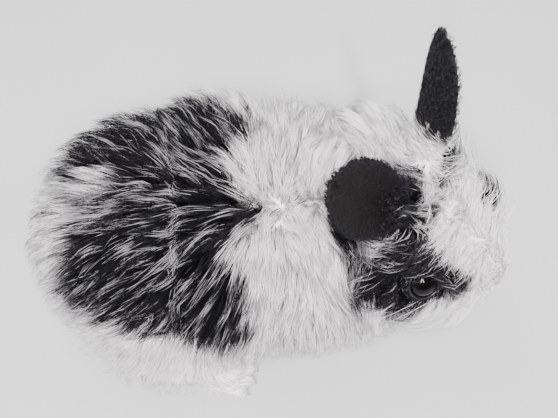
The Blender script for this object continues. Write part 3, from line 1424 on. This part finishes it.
def add_node(tree, kind, values=None, **settings):
    """Add a node, set its own settings, and fill or link its inputs."""
    node = tree.nodes.new(kind)
    for key, value in settings.items():
        setattr(node, key, value)
    for key, value in (values or {}).items():
        if isinstance(value, bpy.types.NodeSocket):
            tree.links.new(value, node.inputs[key])
        else:
            node.inputs[key].default_value = value
    return node


def new_material(name, hex_colour, spot, contrast, **constants):
    """A material with one Principled shader, whose constants are set on its own sockets.

    It has one colour, or the ones that paint kept where that is None, made lighter and darker by this
    share in soft spots of this size in mm.
    """
    material = bpy.data.materials.new(name)
    material.use_nodes = True
    tree = material.node_tree
    tree.nodes.clear()
    constants = {key.replace("_", " "): value for key, value in constants.items()}
    shader = add_node(tree, "ShaderNodeBsdfPrincipled", constants)
    add_node(tree, "ShaderNodeOutputMaterial", {"Surface": shader.outputs["BSDF"]})
    if hex_colour is None:
        kept = add_node(tree, "ShaderNodeAttribute", attribute_name="coat", attribute_type="GEOMETRY")
        colour = kept.outputs["Color"]
    else:
        colour = add_node(tree, "ShaderNodeRGB").outputs["Color"]
        colour.default_value = (*linear(hex_colour), 1)
    where = add_node(tree, "ShaderNodeTexCoord").outputs["Object"]
    spots = {"Vector": where, "Scale": 1 / (spot * MM), "Detail": 3.0, "W": 0.0}
    spots = add_node(tree, "ShaderNodeTexNoise", spots, noise_dimensions="4D").outputs["Fac"]
    ends = {"From Min": 0.3, "From Max": 0.7, "To Min": 1 - contrast, "To Max": 1 + contrast}
    factor = add_node(tree, "ShaderNodeMapRange", {"Value": spots, **ends}).outputs["Result"]
    tint = add_node(tree, "ShaderNodeVectorMath", {0: colour, "Scale": factor}, operation="SCALE")
    tree.links.new(tint.outputs["Vector"], shader.inputs["Base Color"])
    return material


def roughen(material, kind, output, size, depth):
    """Raise a pattern of this size and depth, both in mm, on a material's surface."""
    tree = material.node_tree
    where = add_node(tree, "ShaderNodeTexCoord").outputs["Object"]
    pattern = add_node(tree, kind, {"Vector": where, "Scale": 1 / (size * MM)}).outputs[output]
    bump = add_node(tree, "ShaderNodeBump", {"Strength": 0.5, "Distance": depth * MM, "Height": pattern})
    tree.links.new(bump.outputs["Normal"], tree.nodes["Principled BSDF"].inputs["Normal"])
    return material


def coat_material():
    """Rabbit hair, grown in a dense coat: matt and soft to the eye, as light passes from hair to hair."""
    return new_material(
        "rabbit hair",
        None,
        5.0,
        0.06,
        Roughness=0.7,
        Specular_IOR_Level=0.06,
        Subsurface_Weight=0.4,
        Subsurface_Radius=(1, 0.95, 0.93),
        Subsurface_Scale=1.5 * MM,
    )


def skin_material():
    """Rabbit skin, thin and untreated: dull and finely grained to the eye, at nose, lips and ear cups."""
    material = new_material("rabbit skin", None, 2.5, 0.12, Roughness=0.6, Specular_IOR_Level=0.15)
    # Pores are 0.1 mm apart, and drawn coarser so that they show
    return roughen(material, "ShaderNodeTexVoronoi", "Distance", 0.45, 0.12)


def eye_material():
    """Wet cornea, wiped smooth by the lids: a small sharp highlight to the eye, over a dark brown iris."""
    return new_material("wet cornea", None, 0.5, 0.25, Roughness=0.04, Specular_IOR_Level=0.14)


def lid_material():
    """Moist lid skin, bare and wetted by tears: dark to the eye, with a soft sheen along the rim."""
    black = bpy.context.scene.rabbit_colours.black
    material = new_material("moist lid skin", black, 0.8, 0.2, Roughness=0.35, Specular_IOR_Level=0.5)
    # Wrinkles are 0.2 mm apart, and drawn coarser so that they show
    return roughen(material, "ShaderNodeTexNoise", "Fac", 0.6, 0.1)


def bristle_material(name, hex_colour, roughness):
    """Horn or stiff hair, grown smooth: a narrow soft gloss to the eye along each bristle or claw."""
    return new_material(name, hex_colour, 2.0, 0.15, Roughness=roughness, Specular_IOR_Level=0.5)


def floor_material():
    """Studio paper, uncoated and rolled flat: even and matt to the eye, with no reflection."""
    floor = bpy.context.scene.rabbit_colours.floor
    return new_material("studio paper", floor, 60.0, 0.02, Roughness=0.9, Specular_IOR_Level=0.2)


def shared(name, make):
    """A material by name, made the first time."""
    return bpy.data.materials.get(name) or make()


def dress(piece, material):
    """Give a piece its material, its body and the record's slot that it takes its finish from."""
    piece.data.materials.clear()
    piece.data.materials.append(material)
    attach(piece, BODY)


# ---- The studio ----


def aimed_object(scene, name, data, place, aim):
    """A new light or camera at a place, aimed this way."""
    holder = bpy.data.objects.new(name, data)
    holder.location = place
    holder.rotation_mode = "QUATERNION"
    holder.rotation_quaternion = aim.to_track_quat("-Z", "Y")
    scene.collection.objects.link(holder)
    return holder


def build_studio(scene):
    """A pale paper floor, soft overhead light and the camera at the photo's angle."""
    bm = bmesh.new()
    bmesh.ops.create_grid(bm, x_segments=8, y_segments=8, size=2.0)
    floor = add_object("floor", finished(bm, "floor"))
    floor.data.materials.append(floor_material())
    for name, place, size, power in LIGHTS:
        lamp = bpy.data.lights.new(name, "AREA")
        lamp.shape = "RECTANGLE"
        lamp.energy, lamp.size, lamp.size_y = power, size[0], size[1]
        aimed_object(scene, name, lamp, Vector(place), -Vector(place))
    world = bpy.data.worlds.new("studio")
    world.use_nodes = True
    back = world.node_tree.nodes["Background"]
    back.inputs["Color"].default_value = (*linear(SKY), 1)
    back.inputs["Strength"].default_value = 0.45
    scene.world = world
    camera = bpy.data.cameras.new("camera")
    camera.lens, camera.sensor_width = CAMERA_LENS, 36
    camera.clip_start = 0.01
    turn, rise = math.radians(CAMERA_TURN), math.radians(CAMERA_RISE)
    away = Vector((math.sin(turn) * math.cos(rise), -math.cos(turn) * math.cos(rise), math.sin(rise)))
    place = Vector(to_world(np.array(CAMERA_AIM))) + away * CAMERA_DISTANCE
    scene.camera = aimed_object(scene, "camera", camera, place, -away)


# ---- Operators ----


class RABBIT_OT_skin(bpy.types.Operator):
    """Make the skin that replaces the solids of flesh"""

    bl_idname = "rabbit.skin"
    bl_label = "Skin"

    def execute(self, context):
        skin = build_skin()
        dress(skin, shared("rabbit skin", skin_material))
        flesh = ["head", "neck", "torso", "tail"]
        for word in SIDES.values():
            flesh += ["hind_leg_" + word, "fore_leg_" + word, "ear_" + word]
        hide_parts(*flesh)
        return {"FINISHED"}


class RABBIT_OT_eyes(bpy.types.Operator):
    """Make the eyes, their lids and lashes"""

    bl_idname = "rabbit.eyes"
    bl_label = "Eyes and lids"

    def execute(self, context):
        for side, word in SIDES.items():
            eye = build_eye(side)
            dress(eye, shared("wet cornea", eye_material))
            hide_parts("eye_" + word)
            dress(build_lids(side), shared("moist lid skin", lid_material))
        lash = bristle_material("lash hair", context.scene.rabbit_colours.black, 0.45)
        lashes = grow_bristles("lashes", lash_paths(np.random.default_rng(SEED)), 0.14 * MM, 0.15, lash)
        dress(lashes, lash)
        return {"FINISHED"}


class RABBIT_OT_coat(bpy.types.Operator):
    """Grow the coat over the skin, one part after another"""

    bl_idname = "rabbit.coat"
    bl_label = "Coat"

    def execute(self, context):
        skin, *lids = [bpy.data.objects.get(name) for name in ("skin", "lids_left", "lids_right")]
        if skin is None or None in lids:
            raise RuntimeError("the coat needs the skin and the lids first")
        pelt = lay_pelt(skin, lids)
        for part in coat_parts():
            for piece in build_coat(pelt, part):
                dress(piece, shared("rabbit hair", coat_material))
        return {"FINISHED"}


class RABBIT_OT_whiskers(bpy.types.Operator):
    """Grow the whiskers"""

    bl_idname = "rabbit.whiskers"
    bl_label = "Whiskers"

    def execute(self, context):
        scene = context.scene
        white = bristle_material("whisker hair", scene.rabbit_colours.white, 0.4)
        paths = whisker_paths(np.random.default_rng(SEED))
        whiskers = grow_bristles("whiskers", paths, scene.rabbit_coat.whisker, 0.12, white)
        dress(whiskers, white)
        return {"FINISHED"}


class RABBIT_OT_claws(bpy.types.Operator):
    """Make the claws"""

    bl_idname = "rabbit.claws"
    bl_label = "Claws"

    def execute(self, context):
        horn = bristle_material("claw horn", context.scene.rabbit_colours.claw, 0.4)
        claws = grow_bristles("claws", claw_paths(), 1.5 * MM, 0.2, horn)
        dress(claws, horn)
        return {"FINISHED"}


class RABBIT_OT_studio(bpy.types.Operator):
    """Set up the floor, the lights and the camera"""

    bl_idname = "rabbit.studio"
    bl_label = "Studio"

    def execute(self, context):
        build_studio(context.scene)
        return {"FINISHED"}


class RABBIT_PT_panel(bpy.types.Panel):
    """The rabbit's pieces, in the order they are made"""

    bl_idname = "RABBIT_PT_panel"
    bl_label = "Rabbit"
    bl_space_type = "VIEW_3D"
    bl_region_type = "UI"
    bl_category = "Rabbit"

    def draw(self, context):
        for settings in (context.scene.rabbit_coat, context.scene.rabbit_colours):
            for name in settings.__annotations__:
                self.layout.prop(settings, name)
        for step in STEPS:
            self.layout.operator(step.bl_idname)


STEPS = (
    RABBIT_OT_studio,
    RABBIT_OT_skin,
    RABBIT_OT_eyes,
    RABBIT_OT_coat,
    RABBIT_OT_whiskers,
    RABBIT_OT_claws,
)
CLASSES = (RabbitCoat, RabbitColours, *STEPS, RABBIT_PT_panel)


def register():
    """Register the settings, the operators and the panel."""
    for one in CLASSES:
        bpy.utils.register_class(one)
    bpy.types.Scene.rabbit_coat = PointerProperty(type=RabbitCoat)
    bpy.types.Scene.rabbit_colours = PointerProperty(type=RabbitColours)


def unregister():
    """Take out what register put in."""
    del bpy.types.Scene.rabbit_colours
    del bpy.types.Scene.rabbit_coat
    for one in reversed(CLASSES):
        bpy.utils.unregister_class(one)


def main():
    """Dress the rabbit and note its size before and after."""
    register()
    bpy.ops.rabbit.studio()
    bpy.ops.rabbit.skin()
    bpy.ops.rabbit.eyes()
    bpy.ops.rabbit.coat()
    bpy.ops.rabbit.whiskers()
    bpy.ops.rabbit.claws()


if __name__ == "__main__":
    main()
